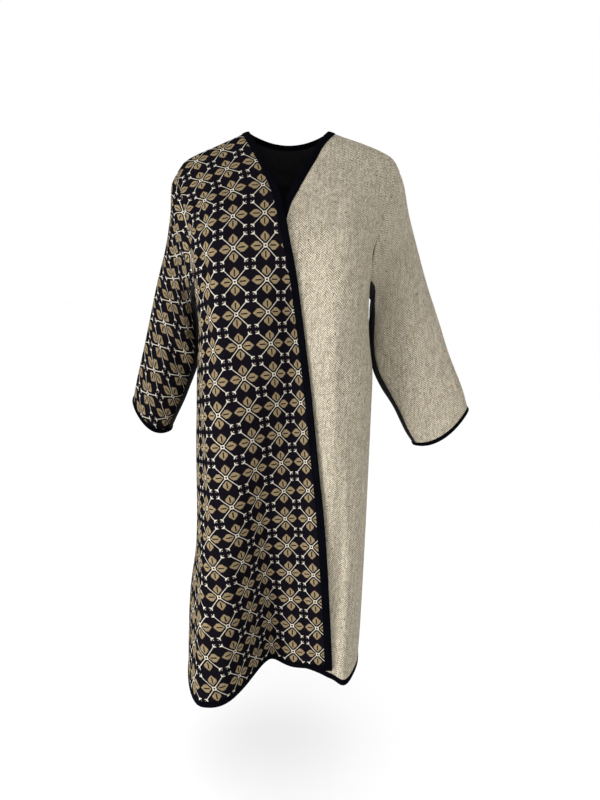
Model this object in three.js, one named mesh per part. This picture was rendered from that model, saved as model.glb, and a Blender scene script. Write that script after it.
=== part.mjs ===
// Abaya: a long open coat whose embroidered right front laps over its tweed left front,
// with a plain black back, sleeves cut in a front and a back half, and folded black binding.
// It keeps the hollow form it has when worn, with nobody in it.
// Millimetres. +Z is up, -Y is the front, +X is the wearer's left.
// The origin lies midway between the two neck points, where the shoulders carry the coat.
import * as THREE from 'three';

// Cloth and making
const clothWall = 2.0;
const tapeWall = 1.0;
const seamGap = 0.3;
const armholeGap = 0.6;
const lapLift = 5.4;
const underLap = 4;
const edgeTape = 15;
const hemTape = 13;
const cuffTape = 8;

// Main sizes
const neckHalf = 84;
const neckBackDrop = 24;
const armholeFoot = 345;
const hemDrop = 1176;
const neckBlend = 130;
const shoulderRound = 100;
const straightDown = 180;
const turn = Math.PI / 180;

// Height of the shoulder line
const shoulderLine = [
  { x: -240, z: -82 },
  { x: -225, z: -62 },
  { x: -200, z: -47 },
  { x: -160, z: -31 },
  { x: -120, z: -14 },
  { x: -84, z: 0 },
  { x: 0, z: 5 },
  { x: 84, z: 0 },
  { x: 120, z: -11 },
  { x: 160, z: -24 },
  { x: 200, z: -40 },
  { x: 225, z: -56 },
  { x: 240, z: -82 },
];

// How far the cloth stands out, front and back, by drop below the shoulder line
const frontProfile = [
  { drop: 0, out: 0 },
  { drop: 1.5, out: 7 },
  { drop: 8, out: 15 },
  { drop: 20, out: 26 },
  { drop: 43, out: 40 },
  { drop: 100, out: 76 },
  { drop: 155, out: 110 },
  { drop: 210, out: 134 },
  { drop: 260, out: 143 },
  { drop: armholeFoot, out: 142 },
  { drop: 450, out: 137 },
  { drop: 640, out: 131 },
  { drop: 850, out: 119 },
  { drop: 1000, out: 113 },
  { drop: 1176, out: 109 },
];
const backProfile = [
  { drop: 0, out: 0 },
  { drop: 1.5, out: 7 },
  { drop: 8, out: 16 },
  { drop: 20, out: 28 },
  { drop: 45, out: 43 },
  { drop: 95, out: 65 },
  { drop: 155, out: 85 },
  { drop: 220, out: 97 },
  { drop: armholeFoot, out: 98 },
  { drop: 480, out: 92 },
  { drop: 640, out: 95 },
  { drop: 850, out: 104 },
  { drop: 1000, out: 112 },
  { drop: 1176, out: 122 },
];

// Side seams from the armhole's foot to the hem, and the width over which each front rounds in
const rightSide = [
  { z: -345, x: -204, y: 0, round: 70 },
  { z: -370, x: -202, y: 2, round: 72 },
  { z: -410, x: -200, y: 3, round: 76 },
  { z: -450, x: -202, y: 2, round: 78 },
  { z: -505, x: -206, y: 0, round: 76 },
  { z: -650, x: -212, y: -4, round: 70 },
  { z: -880, x: -216, y: -10, round: 62 },
  { z: -1020, x: -234, y: -18, round: 60 },
  { z: -1120, x: -239, y: -24, round: 58 },
  { z: -1206, x: -241, y: -28, round: 56 },
];
const leftSide = [
  { z: -345, x: 178, y: 0, round: 66 },
  { z: -370, x: 177, y: 2, round: 68 },
  { z: -410, x: 177, y: 3, round: 72 },
  { z: -450, x: 180, y: 2, round: 74 },
  { z: -510, x: 187, y: 0, round: 72 },
  { z: -580, x: 186, y: -2, round: 70 },
  { z: -700, x: 183, y: -4, round: 66 },
  { z: -900, x: 177, y: -12, round: 60 },
  { z: -1100, x: 169, y: -22, round: 54 },
  { z: -1206, x: 163, y: -26, round: 50 },
];

// Front edges, neck point to hem
const rightEdge = [
  { z: 0, x: -84 },
  { z: -30, x: -68 },
  { z: -70, x: -48 },
  { z: -108, x: -30.5 },
  { z: -140, x: -18 },
  { z: -184, x: -5.5 },
  { z: -230, x: 3 },
  { z: -318, x: 20 },
  { z: -513, x: 46 },
  { z: -690, x: 64 },
  { z: -824, x: 77 },
  { z: -1010, x: 88 },
  { z: -1176, x: 96 },
];
const leftEdge = [
  { z: 0, x: 84 },
  { z: -32, x: 60 },
  { z: -65, x: 43 },
  { z: -99, x: 24.5 },
  { z: -130, x: 8 },
  { z: -165, x: -9.5 },
  { z: -230, x: -25 },
  { z: -318, x: -38 },
  { z: -513, x: -60 },
  { z: -824, x: -84 },
  { z: -1176, x: -104 },
];

// How much lower than the middle each part of the hem hangs
const rightHemDip = [
  { x: -241, dip: 30 },
  { x: -176, dip: 41 },
  { x: -110, dip: 31 },
  { x: -60, dip: 10 },
  { x: -20, dip: 3 },
  { x: 20, dip: 1 },
  { x: 96, dip: -2 },
];
const leftHemDip = [
  { x: -104, dip: 0 },
  { x: 0, dip: 2 },
  { x: 68, dip: 13 },
  { x: 122, dip: 32 },
  { x: 163, dip: 29 },
];
const backHemDip = [
  { x: -241, dip: 30 },
  { x: -120, dip: 31 },
  { x: 0, dip: 25 },
  { x: 90, dip: 28 },
  { x: 163, dip: 29 },
];

// Hanging folds: a crest has a positive depth, a trough a negative one
const frontFolds = [
  { name: 'bust cone', power: 3, topZ: -380, topX: -116, topWide: 62,
    midZ: -680, midX: -130, midWide: 70, midDeep: 36, lowX: -176, lowWide: 78, lowDeep: 86 },
  { name: 'valley', power: 2, topZ: -640, topX: -66, topWide: 30,
    midZ: -940, midX: -48, midWide: 36, midDeep: -15, lowX: -45, lowWide: 38, lowDeep: -39 },
  { name: 'middle dip', power: 2, topZ: -190, topX: 14, topWide: 44,
    midZ: -390, midX: 16, midWide: 46, midDeep: -28, lowX: 10, lowWide: 40, lowDeep: 6 },
  { name: 'edge crest', power: 2, topZ: -700, topX: 62, topWide: 34,
    midZ: -950, midX: 66, midWide: 34, midDeep: 11, lowX: 74, lowWide: 34, lowDeep: 14 },
  { name: 'left crest', power: 2, topZ: -230, topX: 96, topWide: 24,
    midZ: -620, midX: 94, midWide: 26, midDeep: 8, lowX: 90, lowWide: 30, lowDeep: 2 },
  { name: 'left cone', power: 2, topZ: -560, topX: 128, topWide: 26,
    midZ: -900, midX: 126, midWide: 26, midDeep: 9, lowX: 122, lowWide: 30, lowDeep: 28 },
  { name: 'narrow trough', power: 2, topZ: -640, topX: 112, topWide: 12,
    midZ: -950, midX: 110, midWide: 13, midDeep: -7, lowX: 104, lowWide: 15, lowDeep: -8 },
  { name: 'right armhole crumple', power: 2, topZ: -150, topX: -176, topWide: 14,
    midZ: -262, midX: -168, midWide: 15, midDeep: -7, lowX: -150, lowWide: 30, lowDeep: 0 },
  { name: 'left armhole drag', power: 2, topZ: -150, topX: 152, topWide: 16,
    midZ: -270, midX: 142, midWide: 20, midDeep: -5, lowX: 120, lowWide: 30, lowDeep: 0 },
];
const backFolds = [
  { name: 'right cone', power: 2, topZ: -300, topX: -92, topWide: 44,
    midZ: -700, midX: -104, midWide: 46, midDeep: 12, lowX: -126, lowWide: 48, lowDeep: 34 },
  { name: 'middle trough', power: 2, topZ: -260, topX: -14, topWide: 40,
    midZ: -680, midX: -22, midWide: 42, midDeep: -11, lowX: -34, lowWide: 42, lowDeep: -22 },
  { name: 'left cone', power: 2, topZ: -360, topX: 66, topWide: 38,
    midZ: -740, midX: 60, midWide: 40, midDeep: 12, lowX: 56, lowWide: 44, lowDeep: 27 },
  { name: 'side trough', power: 2, topZ: -560, topX: 112, topWide: 22,
    midZ: -860, midX: 112, midWide: 24, midDeep: -7, lowX: 110, lowWide: 26, lowDeep: -14 },
];

// Sleeves: each row runs from the outer fold of the sleeve to its underarm
const rightSleeve = [
  { along: 0.00, outX: -240, outZ: -82, inX: -204, inZ: -345, mid: 0, deep: 61, pinch: 1.3, bow: 12, sag: 0 },
  { along: 0.04, outX: -254, outZ: -104, inX: -213, inZ: -358, mid: 12, deep: 60, pinch: 1.2, bow: 9, sag: 0 },
  { along: 0.15, outX: -262, outZ: -158, inX: -210, inZ: -396, mid: 30, deep: 57, pinch: 1.1, bow: 4, sag: 0 },
  { along: 0.30, outX: -275, outZ: -229, inX: -208, inZ: -437, mid: 32, deep: 53, pinch: 1, bow: 0, sag: 0 },
  { along: 0.45, outX: -294, outZ: -301, inX: -210, inZ: -484, mid: 25, deep: 49, pinch: 1, bow: 0, sag: 0 },
  { along: 0.60, outX: -310, outZ: -372, inX: -222, inZ: -528, mid: 17, deep: 47, pinch: 1, bow: 0, sag: 4 },
  { along: 0.75, outX: -325, outZ: -444, inX: -239, inZ: -571, mid: 5, deep: 45, pinch: 1, bow: 0, sag: 9 },
  { along: 0.90, outX: -343, outZ: -524, inX: -260, inZ: -616, mid: -8, deep: 45, pinch: 1, bow: 0, sag: 16 },
  { along: 1.00, outX: -353, outZ: -575, inX: -273, inZ: -645, mid: -15, deep: 45, pinch: 1, bow: 0, sag: 21 },
];
const leftSleeve = [
  { along: 0.00, outX: 240, outZ: -82, inX: 178, inZ: -345, mid: 0, deep: 61, pinch: 1.3, bow: -20, sag: 0 },
  { along: 0.04, outX: 251, outZ: -108, inX: 187, inZ: -358, mid: 12, deep: 58, pinch: 1.2, bow: -16, sag: 0 },
  { along: 0.15, outX: 266, outZ: -163, inX: 183, inZ: -399, mid: 30, deep: 53, pinch: 1.1, bow: -8, sag: 0 },
  { along: 0.30, outX: 289, outZ: -242, inX: 185, inZ: -450, mid: 32, deep: 47, pinch: 1, bow: -2, sag: 0 },
  { along: 0.45, outX: 312, outZ: -320, inX: 192, inZ: -505, mid: 25, deep: 41, pinch: 1, bow: 0, sag: 0 },
  { along: 0.60, outX: 338, outZ: -397, inX: 215, inZ: -556, mid: 16, deep: 37, pinch: 1, bow: 0, sag: 4 },
  { along: 0.75, outX: 363, outZ: -474, inX: 244, inZ: -602, mid: 5, deep: 33, pinch: 1, bow: 0, sag: 9 },
  { along: 0.90, outX: 393, outZ: -549, inX: 268, inZ: -650, mid: -6, deep: 28, pinch: 1, bow: 0, sag: 17 },
  { along: 1.00, outX: 408, outZ: -600, inX: 288, inZ: -680, mid: -12, deep: 25, pinch: 1, bow: 0, sag: 22 },
];

// Folds of the sleeves: place along and round the sleeve, reach both ways in the same units
const rightSleeveFolds = [
  { along: 0.22, at: 128, reach: 0.09, spread: 26, deep: -9 },
  { along: 0.40, at: 70, reach: 0.07, spread: 40, deep: -5 },
  { along: 0.58, at: 118, reach: 0.06, spread: 34, deep: -6 },
  { along: 0.34, at: 250, reach: 0.08, spread: 40, deep: -7 },
  { along: 0.66, at: 230, reach: 0.07, spread: 40, deep: -6 },
];
const leftSleeveFolds = [
  { along: 0.20, at: 124, reach: 0.09, spread: 26, deep: -9 },
  { along: 0.44, at: 96, reach: 0.06, spread: 44, deep: -5 },
  { along: 0.62, at: 130, reach: 0.07, spread: 30, deep: -5 },
  { along: 0.36, at: 244, reach: 0.08, spread: 40, deep: -7 },
  { along: 0.68, at: 228, reach: 0.07, spread: 40, deep: -5 },
];
// Angles round the sleeve of its two seams
const topSeam = -12;
const underSeam = [
  { along: 0, at: 136 },
  { along: 0.15, at: 138 },
  { along: 0.35, at: 152 },
  { along: 1, at: 154 },
];

// Fineness of the meshes
const frontAcross = [17];
const backAcross = [7, 8, 7];
const yokeRows = 13;
const skirtRows = 19;
const sleeveRound = 11;
const sleeveRows = 12;
const fineSteps = 90;
const bisections = 30;
const tapeCorners = 8;
const turnedFaces = [2, 5, 6];
const nudge = 0.4;
const seamLean = 0.6;
const crowding = 1.3;

// Smooth value of one column of a table, by its key column
function read(rows, key, column, at) {
  const up = rows[1][key] > rows[0][key] ? 1 : -1;
  const last = rows.length - 1;
  let i = 0;
  while (i < last - 1 && up * at > up * rows[i + 1][key]) i += 1;
  const slope = (k) => {
    const a = rows[Math.max(k - 1, 0)];
    const b = rows[Math.min(k + 1, last)];
    return (b[column] - a[column]) / (b[key] - a[key]);
  };
  const from = rows[i];
  const to = rows[i + 1];
  const span = to[key] - from[key];
  const t = Math.min(Math.max((at - from[key]) / span, 0), 1);
  const t2 = t * t;
  const t3 = t2 * t;
  const ends = (2 * t3 - 3 * t2 + 1) * from[column] + (3 * t2 - 2 * t3) * to[column];
  return ends + span * ((t3 - 2 * t2 + t) * slope(i) + (t3 - t2) * slope(i + 1));
}

function ease(t) {
  const c = Math.min(Math.max(t, 0), 1);
  return c * c * (3 - 2 * c);
}

// A profile gets a column with the length of cloth down to each row
function measured(profile) {
  let length = 0;
  return profile.map((row, i) => {
    if (i > 0) length += Math.hypot(row.drop - profile[i - 1].drop, row.out - profile[i - 1].out);
    return { ...row, length };
  });
}

function foldDepth(folds, x, z) {
  let sum = 0;
  for (const f of folds) {
    if (z > f.topZ) continue;
    const low = z < f.midZ;
    const span = low ? -hemDrop - f.midZ : f.midZ - f.topZ;
    const t = low ? (z - f.midZ) / span : (z - f.topZ) / span;
    const mix = (a, b) => a + (b - a) * t;
    const centre = low ? mix(f.midX, f.lowX) : mix(f.topX, f.midX);
    const wide = low ? mix(f.midWide, f.lowWide) : mix(f.topWide, f.midWide);
    const deep = low ? mix(f.midDeep, f.lowDeep) : f.midDeep * ease(t);
    sum += deep * Math.exp(-(Math.abs((x - centre) / wide) ** f.power));
  }
  return sum;
}

function sleevePoint(rows, along, at, folds = []) {
  const v = (column) => read(rows, 'along', column, along);
  const c = Math.cos(at * turn);
  const s = Math.sin(at * turn);
  const x = (v('outX') + v('inX')) / 2 + (v('outX') - v('inX')) / 2 * c + v('bow') * s * s;
  const z = (v('outZ') + v('inZ')) / 2 + (v('outZ') - v('inZ')) / 2 * c - v('sag') * Math.max(s, 0) ** 2;
  const y = v('mid') - v('deep') * Math.sign(s) * Math.abs(s) ** v('pinch');
  const spoke = new THREE.Vector3(x - (v('outX') + v('inX')) / 2, y - v('mid'),
    z - (v('outZ') + v('inZ')) / 2).normalize();
  let lift = 0;
  for (const f of folds) {
    const a = (along - f.along) / f.reach;
    const b = (at - f.at) / f.spread;
    lift += f.deep * Math.exp(-a * a - b * b);
  }
  return new THREE.Vector3(x, y, z).addScaledVector(spoke, lift);
}

// How far down towards the hem a drop lies, below the armhole's foot
function hemShare(drop) {
  return Math.max((drop - armholeFoot) / (hemDrop - armholeFoot), 0) ** 1.5;
}

// Height of a row at x: it follows the shoulder at the top and the hem line below
function rowHeight(piece, drop, x) {
  const shoulder = read(shoulderLine, 'x', 'z', x) * (1 - ease(drop / armholeFoot));
  return shoulder - drop - read(piece.hemDip, 'x', 'dip', x) * hemShare(drop);
}

// Angle round the armhole at which a row of this drop ends
function armholeAngle(piece, sleeve, drop) {
  let low = 0;
  let high = 180;
  for (let i = 0; i < bisections; i += 1) {
    const at = (low + high) / 2;
    const p = sleevePoint(sleeve, 0, at);
    if (p.z > rowHeight(piece, drop, p.x)) low = at;
    else high = at;
  }
  return (low + high) / 2;
}

// Outward direction at the armhole seam, shared by the body and the sleeve
function armholeNormal(sleeve, at) {
  const round = sleevePoint(sleeve, 0, at + 1).sub(sleevePoint(sleeve, 0, at - 1));
  const normal = new THREE.Vector3(0, -round.z, round.y).normalize();
  const middle = (sleeve[0].outZ + sleeve[0].inZ) / 2;
  const point = sleevePoint(sleeve, 0, at);
  const outward = point.y * normal.y + (point.z - middle) * normal.z;
  if (outward < 0) normal.negate();
  normal.x = Math.sign(sleeve[0].outX) * seamLean * Math.max(Math.cos(at * turn), 0) ** 2;
  return normal.normalize();
}

// Where a body row ends at the side: on the armhole, or on the side seam below it
function sideEnd(piece, side, sleeve, drop) {
  if (drop < armholeFoot) {
    const at = armholeAngle(piece, sleeve, drop) * piece.facing;
    const share = drop / armholeFoot;
    return {
      point: sleevePoint(sleeve, 0, at),
      round: shoulderRound + (side[0].round - shoulderRound) * share,
      firm: 1 + share * share,
      normal: armholeNormal(sleeve, at),
    };
  }
  const dip = read(piece.hemDip, 'x', 'dip', side[side.length - 1].x);
  const z = -drop - dip * hemShare(drop);
  const point = new THREE.Vector3(read(side, 'z', 'x', z), read(side, 'z', 'y', z), z);
  const normal = drop < armholeFoot + 1 ? armholeNormal(sleeve, straightDown) : null;
  return { point, round: read(side, 'z', 'round', z), firm: 2, normal };
}

function rise(end, x) {
  const t = Math.min(Math.abs(x - end.point.x) / end.round, 1);
  return (1 - (1 - t) * (1 - t)) ** (1 / end.firm);
}

// A point of a body panel from its length of cloth below the shoulder line and its x
function bodyPoint(piece, length, x, ends) {
  const neck = piece.neck ? piece.neck(x) : 0;
  const down = length + neck * Math.max(1 - length / neckBlend, 0);
  const drop = read(piece.profile, 'length', 'drop', down);
  const z = rowHeight(piece, drop, x);
  const out = read(piece.profile, 'length', 'out', down);
  const stand = -piece.facing * (out + foldDepth(piece.folds, x, z));
  let y = stand;
  for (const end of ends) {
    if (end.point) y += (end.point.y - stand) * (1 - rise(end, x));
  }
  return new THREE.Vector3(x, y, z);
}

// A row of fine points between two places, with more of them close to a rounded side
function fineRow(piece, length, fromX, toX, ends) {
  const points = [];
  for (let i = 0; i <= fineSteps; i += 1) {
    const t = i / fineSteps;
    let share = t;
    if (ends[0].point && ends[0].point.x === fromX) share = t * t;
    if (ends[1].point && ends[1].point.x === toX) share = 1 - (1 - t) * (1 - t);
    points.push(bodyPoint(piece, length, fromX + (toX - fromX) * share, ends));
  }
  return points;
}

// Places evenly spaced along a line of points, or at given lengths from its start
function placesOn(points, wanted) {
  const lengths = [0];
  for (let i = 1; i < points.length; i += 1) {
    lengths.push(lengths[i - 1] + points[i].distanceTo(points[i - 1]));
  }
  const total = lengths[lengths.length - 1];
  return wanted(total).map((want) => {
    let k = 1;
    while (k < points.length - 1 && lengths[k] < want) k += 1;
    const t = (want - lengths[k - 1]) / (lengths[k] - lengths[k - 1]);
    return {
      point: points[k - 1].clone().lerp(points[k], t),
      along: points[k].clone().sub(points[k - 1]).normalize(),
    };
  });
}

// One row of a panel: stretches between named places, each evenly divided
function panelRow(piece, length) {
  const drop = read(piece.profile, 'length', 'drop', length);
  const ends = [piece.start(drop), piece.end(drop)];
  const stops = [ends[0].x ?? ends[0].point.x, ...piece.stops, ends[1].x ?? ends[1].point.x];
  const row = [];
  piece.counts.forEach((count, k) => {
    const points = fineRow(piece, length, stops[k], stops[k + 1], ends);
    const first = k === 0;
    const last = k === piece.counts.length - 1;
    const places = placesOn(points, (total) => {
      const from = first ? seamGap / 2 : 0;
      const tape = last && piece.edgeTape ? piece.edgeTape(length, points) : 0;
      const to = total - tape - (last && !tape ? seamGap / 2 : 0);
      const wanted = [];
      for (let i = first ? 0 : 1; i <= count; i += 1) wanted.push(from + (to - from) * i / count);
      if (tape) wanted.push(total);
      return wanted;
    });
    row.push(...places);
  });
  row[0].normal = ends[0].normal;
  if (ends[1].normal) row[row.length - 1].normal = ends[1].normal;
  return row;
}

// Tape width along a row whose edge runs at a slant
function slantTape(edge) {
  return (length, points) => {
    const end = points[points.length - 1];
    const across = points[points.length - 2].clone().sub(end).normalize();
    const down = new THREE.Vector3(
      read(edge, 'z', 'x', end.z - nudge) - read(edge, 'z', 'x', end.z + nudge), 0, -2 * nudge);
    const cos = Math.abs(across.dot(down.normalize()));
    return edgeTape / Math.sqrt(1 - cos * cos);
  };
}

// Lengths of cloth at which a panel has its rows, the armhole's foot and the hem tape's edge included
function rowLengths(piece) {
  const total = piece.profile[piece.profile.length - 1].length;
  const foot = piece.profile.find((row) => row.drop === armholeFoot).length;
  const top = piece.neck ? edgeTape : seamGap / 2;
  const hem = total - hemTape;
  const lengths = piece.neck ? [seamGap / 2] : [];
  for (let i = 0; i < yokeRows; i += 1) lengths.push(top + (foot - top) * i / yokeRows);
  for (let i = 0; i <= skirtRows; i += 1) lengths.push(foot + (hem - foot) * i / skirtRows);
  lengths.push(total);
  return lengths;
}

// The grid of a body panel, with its outward normals
function bodyGrid(piece) {
  const lengths = rowLengths(piece);
  const total = lengths[lengths.length - 1];
  return lengths.map((length, j) => {
    const above = panelRow(piece, Math.max(length - nudge, 0));
    const below = panelRow(piece, Math.min(length + nudge, total));
    return panelRow(piece, length).map((place, i) => {
      const down = below[i].point.clone().sub(above[i].point);
      const normal = place.normal ? place.normal.clone()
        : place.along.clone().cross(down).normalize().multiplyScalar(piece.hand);
      const onShoulder = j === 0 && Math.abs(place.point.x) > neckHalf - 1;
      if (onShoulder && !place.normal) {
        normal.set(-place.along.z, 0, place.along.x).normalize();
        if (normal.z < 0) normal.negate();
      }
      const point = place.point.clone().addScaledVector(normal, piece.lift(place.point));
      return { point, normal };
    });
  });
}

// Steps for slopes: a share of the sleeve's length, degrees round it, and the last stretch at the cuff
const alongStep = 0.005;
const atStep = 0.5;
const cuffStep = 0.01;

// The grid of one half of a sleeve
function sleeveGrid(rows, folds, isFront) {
  const side = Math.sign(rows[0].outX);
  const place = (along, at) => sleevePoint(rows, along, at, folds);
  const grid = [];
  for (let j = 0; j <= sleeveRows; j += 1) {
    const row = [];
    for (let i = 0; i <= sleeveRound; i += 1) {
      const evenAlong = Math.min(j / (sleeveRows - 1), 1) ** crowding;
      const under = read(underSeam, 'along', 'at', evenAlong);
      const fromAngle = isFront ? topSeam : under;
      const toAngle = isFront ? under : topSeam + 360;
      const evenAngle = fromAngle + (toAngle - fromAngle) * i / sleeveRound;
      const ahead = place(evenAlong, evenAngle + atStep);
      const degree = ahead.distanceTo(place(evenAlong, evenAngle - atStep)) / (2 * atStep);
      const trim = seamGap / 2 / degree;
      const at = evenAngle + (i === 0 ? trim : 0) - (i === sleeveRound ? trim : 0);
      const cuff = cuffTape * cuffStep / place(1, at).distanceTo(place(1 - cuffStep, at));
      const along = j < sleeveRows ? evenAlong * (1 - cuff) : 1;
      const point = place(along, at);
      let normal = null;
      if (j === 0) {
        normal = armholeNormal(rows, at);
        point.x += side * armholeGap;
      } else {
        const step = place(Math.min(along + alongStep, 1), at).sub(place(along - alongStep, at));
        const round = place(along, at + atStep).sub(place(along, at - atStep));
        normal = round.cross(step).normalize().multiplyScalar(side);
      }
      row.push({ point, normal });
    }
    grid.push(row);
  }
  return grid;
}

function between(a, b, share) {
  return {
    point: a.point.clone().lerp(b.point, share),
    normal: a.normal.clone().lerp(b.normal, share).normalize(),
  };
}

// A closed wall from vertices and faces, turned so that its faces point outwards
function closedMesh(name, vertices, faces, material) {
  let volume = 0;
  for (const [a, b, c] of faces) {
    volume += vertices[a].dot(vertices[b].clone().cross(vertices[c]));
  }
  const index = volume > 0 ? faces.flat() : faces.map(([a, b, c]) => [a, c, b]).flat();
  const geometry = new THREE.BufferGeometry();
  geometry.setAttribute('position',
    new THREE.Float32BufferAttribute(vertices.flatMap((v) => [v.x, v.y, v.z]), 3));
  geometry.setIndex(index);
  geometry.computeVertexNormals();
  const mesh = new THREE.Mesh(geometry, material);
  mesh.name = name;
  return mesh;
}

// Cloth wall on a grid of places: an outer skin, an inner skin and the four edges
function clothMesh(name, grid, material) {
  const down = grid.length;
  const across = grid[0].length;
  const vertices = [];
  for (const side of [0.5, -0.5]) {
    for (const row of grid) {
      for (const place of row) {
        vertices.push(place.point.clone().addScaledVector(place.normal, side * clothWall));
      }
    }
  }
  const skin = down * across;
  const faces = [];
  const quad = (a, b, c, d) => faces.push([a, b, c], [a, c, d]);
  for (let j = 0; j < down - 1; j += 1) {
    for (let i = 0; i < across - 1; i += 1) {
      const k = j * across + i;
      faces.push([k, k + across, k + across + 1], [k, k + across + 1, k + 1]);
      const n = k + skin;
      faces.push([n, n + across + 1, n + across], [n, n + 1, n + across + 1]);
    }
  }
  for (let i = 0; i < across - 1; i += 1) {
    const low = (down - 1) * across + i;
    quad(i + 1, i + 1 + skin, i + skin, i);
    quad(low, low + skin, low + skin + 1, low + 1);
  }
  for (let j = 0; j < down - 1; j += 1) {
    const k = j * across;
    const end = k + across - 1;
    quad(k, k + skin, k + across + skin, k + across);
    quad(end, end + across, end + across + skin, end + skin);
  }
  return closedMesh(name, vertices, faces, material);
}

// Binding tape folded round an edge; each station has a place inland and a place on the edge
function tapeMesh(name, stations, closed, material) {
  const outside = clothWall / 2 + seamGap + tapeWall;
  const inside = clothWall / 2 + seamGap;
  const vertices = [];
  for (const { inland, edge } of stations) {
    const fold = between(edge, inland, tapeWall / edge.point.distanceTo(inland.point));
    const corners = [
      [inland, outside], [edge, outside], [edge, -outside], [inland, -outside],
      [inland, -inside], [fold, -inside], [fold, inside], [inland, inside],
    ];
    for (const [place, out] of corners) {
      vertices.push(place.point.clone().addScaledVector(place.normal, out));
    }
  }
  const faces = [];
  const quad = (a, b, c, d) => faces.push([a, b, c], [a, c, d]);
  const last = stations.length - 1;
  for (let s = 0; s < (closed ? stations.length : last); s += 1) {
    const here = s * tapeCorners;
    const next = ((s + 1) % stations.length) * tapeCorners;
    for (let c = 0; c < tapeCorners; c += 1) {
      const d = (c + 1) % tapeCorners;
      if (turnedFaces.includes(c)) quad(here + d, next + d, next + c, here + c);
      else quad(here + c, here + d, next + d, next + c);
    }
  }
  if (!closed) {
    const end = last * tapeCorners;
    for (const [a, b, c, d] of [[0, 1, 6, 7], [1, 2, 5, 6], [2, 3, 4, 5]]) {
      quad(d, c, b, a);
      quad(end + a, end + b, end + c, end + d);
    }
  }
  return closedMesh(name, vertices, faces, material);
}

// Cloth ends inside the fold of its binding
function tucked(edge, inland) {
  return between(edge, inland, (tapeWall + seamGap) / edge.point.distanceTo(inland.point));
}

function tuckSideEdge(grid) {
  return grid.map((row) => [...row.slice(0, -1), tucked(row[row.length - 1], row[row.length - 2])]);
}

function tuckLastRow(grid) {
  const low = grid[grid.length - 1];
  const inland = grid[grid.length - 2];
  return [...grid.slice(0, -1), low.map((place, i) => tucked(place, inland[i]))];
}

function tuckNeck(grid, from, to) {
  const top = grid[0].map((place, i) => (i < from || i > to ? place : tucked(place, grid[1][i])));
  return [top, ...grid.slice(1)];
}

// Stations of a hem tape, stopping a seam's gap short of an upright tape where there is one
function hemStations(grid, lastColumn) {
  const low = grid[grid.length - 1];
  const inland = grid[grid.length - 2];
  const stations = [];
  for (let i = 0; i <= lastColumn; i += 1) stations.push({ inland: inland[i], edge: low[i] });
  if (lastColumn < low.length - 1) {
    const stop = (row) => between(row[lastColumn], row[lastColumn - 1],
      seamGap / row[lastColumn].point.distanceTo(row[lastColumn - 1].point));
    stations[lastColumn] = { inland: stop(inland), edge: stop(low) };
  }
  return stations;
}

const embroidered = new THREE.MeshStandardMaterial({ color: 0x3b342c, roughness: 0.9, metalness: 0 });
const tweed = new THREE.MeshStandardMaterial({ color: 0xb2a892, roughness: 0.95, metalness: 0 });
const black = new THREE.MeshStandardMaterial({ color: 0x141218, roughness: 0.92, metalness: 0 });
const tape = new THREE.MeshStandardMaterial({ color: 0x08080c, roughness: 0.85, metalness: 0 });

function front(side, sleeve, edge, hemDip, hand, lift) {
  const piece = {
    facing: 1, hand, hemDip, lift, profile: measured(frontProfile), folds: frontFolds,
    stops: [], counts: frontAcross, edgeTape: slantTape(edge),
    end: (drop) => ({ x: read(edge, 'z', 'x', -drop) }),
  };
  piece.start = (drop) => sideEnd(piece, side, sleeve, drop);
  return piece;
}

// The right front stands off the left one where it laps over it, and the left front tucks in
// under it. Each grows from a line at fromX over acrossX, and below fromZ over downZ
const lap = { height: lapLift, fromX: -205, acrossX: 80, fromZ: -10, downZ: 110 };
const tuck = { height: -underLap, fromX: 110, acrossX: -50, fromZ: -250, downZ: 600 };
const standOff = (way) => (point) => way.height
  * ease((point.x - way.fromX) / way.acrossX) * ease((way.fromZ - point.z) / way.downZ);

function back() {
  const profile = measured(backProfile);
  const piece = {
    facing: -1, hand: 1, hemDip: backHemDip, lift: () => 0, profile, folds: backFolds,
    stops: [-neckHalf, neckHalf], counts: backAcross,
    neck: (x) => {
      const dip = neckBackDrop * Math.max(1 - (x / neckHalf) ** 2, 0);
      return read(profile, 'drop', 'length', dip);
    },
  };
  piece.start = (drop) => sideEnd(piece, rightSide, rightSleeve, drop);
  piece.end = (drop) => sideEnd(piece, leftSide, leftSleeve, drop);
  return piece;
}

const coat = new THREE.Group();
coat.name = 'abaya';

const rightFront = front(rightSide, rightSleeve, rightEdge, rightHemDip, -1, standOff(lap));
const leftFront = front(leftSide, leftSleeve, leftEdge, leftHemDip, 1, standOff(tuck));
const fronts = [
  { side: 'right', cloth: embroidered, piece: rightFront },
  { side: 'left', cloth: tweed, piece: leftFront },
];
for (const { side, cloth, piece } of fronts) {
  const grid = bodyGrid(piece);
  const edge = grid[0].length - 1;
  coat.add(clothMesh(`front_${side}`, tuckLastRow(tuckSideEdge(grid)), cloth));
  const stations = grid.map((row) => ({ inland: row[edge - 1], edge: row[edge] }));
  coat.add(tapeMesh(`binding_front_${side}`, stations, false, tape));
  coat.add(tapeMesh(`binding_hem_${side}`, hemStations(grid, edge - 1), false, tape));
}

const backPanel = bodyGrid(back());
const neckFrom = backAcross[0];
const neckTo = backAcross[0] + backAcross[1];
coat.add(clothMesh('back', tuckLastRow(tuckNeck(backPanel, neckFrom, neckTo)), black));
coat.add(tapeMesh('binding_hem_back', hemStations(backPanel, backPanel[0].length - 1), false, tape));
const neckStations = [];
for (let i = neckTo; i >= neckFrom; i -= 1) {
  neckStations.push({ inland: backPanel[1][i], edge: backPanel[0][i] });
}
coat.add(tapeMesh('binding_neck_back', neckStations, false, tape));

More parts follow.
